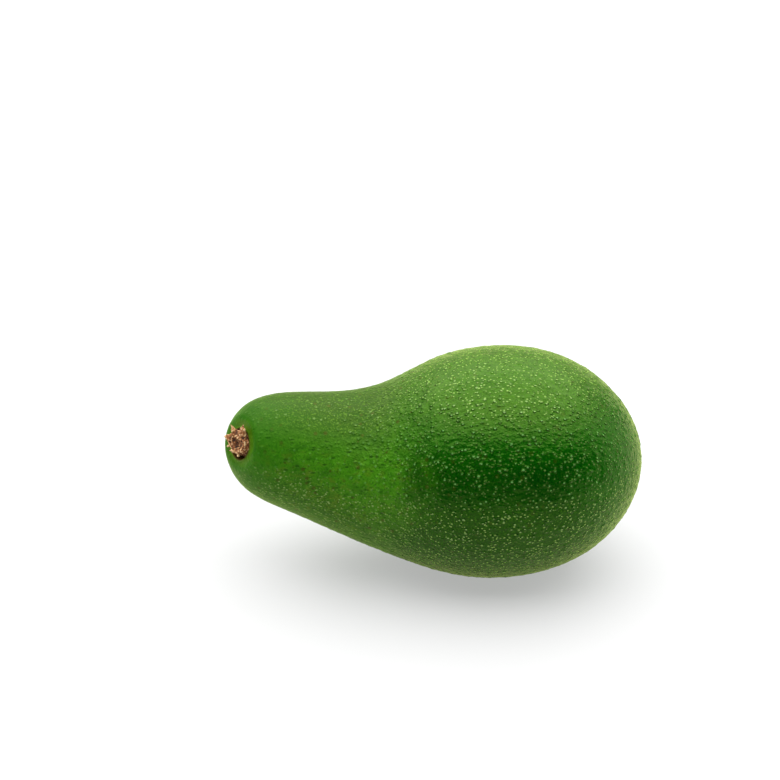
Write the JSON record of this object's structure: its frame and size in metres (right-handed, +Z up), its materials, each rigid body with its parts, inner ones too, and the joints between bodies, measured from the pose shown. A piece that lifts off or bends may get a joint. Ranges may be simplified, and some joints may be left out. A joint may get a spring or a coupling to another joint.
{
  "type": "avocado",
  "caption": "Whole long-necked green avocado lying on its side, with pebbled skin and a dry brown stem remnant at the neck.",
  "frame": {"origin": "middle of the small flat rest spot under the belly", "axes": "+Z up, +X along the fruit's long axis from the stem end to the blossom end, -Y the side that the neck bends towards"},
  "size_m": [0.1292, 0.0748, 0.0714],
  "materials": {
    "skin": "waxy, satin, with small pale lenticel dots",
    "dry_stem": "dry, torn, matte"
  },
  "bodies": {
    "root": {"fruit": "skin", "stem_button": "dry_stem"}
  },
  "joints": []
}
